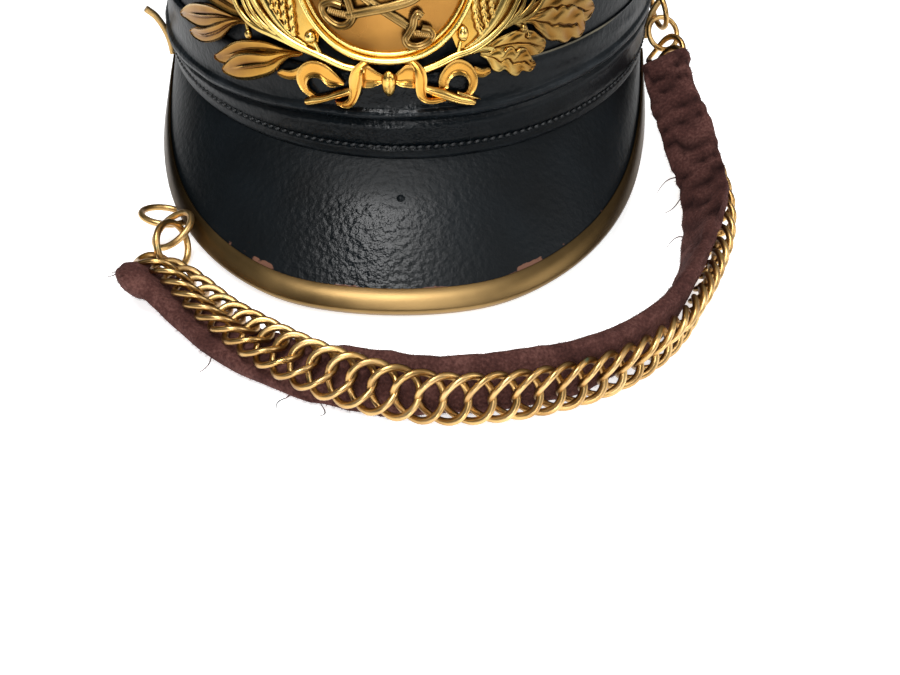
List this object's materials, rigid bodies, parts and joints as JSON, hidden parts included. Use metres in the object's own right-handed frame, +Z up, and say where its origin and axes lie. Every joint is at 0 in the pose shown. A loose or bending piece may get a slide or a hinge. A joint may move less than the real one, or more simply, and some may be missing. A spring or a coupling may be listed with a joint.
{
  "type": "dress helmet",
  "caption": "Leather dress helmet with a domed skull, front and rear peaks, a gilt wreath plate with crossed sabres and a velvet-backed chin chain laid on the table.",
  "frame": {"origin": "on the table, under the middle of the bounding box", "axes": "+Z up from the table, -Y towards the front of the helmet, +X to the picture's right"},
  "size_m": [0.206, 0.3226, 0.162],
  "materials": {
    "leather": "gloss",
    "old_brass": "satin",
    "gilt": "gloss",
    "bronze": "satin",
    "grey_brass": "satin",
    "velvet": "matte",
    "chain_brass": "gloss"
  },
  "bodies": {
    "root": {"skull": "leather", "base_band": "leather", "front_peak": "leather", "rear_peak": "leather", "peak_trim": "old_brass", "left_hook": "old_brass", "right_hook": "old_brass", "wreath_plate": "gilt", "oval_boss": "bronze", "crossed_sabres": "grey_brass", "strap_backing": "velvet", "chin_chain": "chain_brass", "left_ring_1": "chain_brass", "left_ring_2": "chain_brass", "left_ring_3": "chain_brass", "right_ring_1": "chain_brass", "right_ring_2": "chain_brass"}
  },
  "joints": []
}
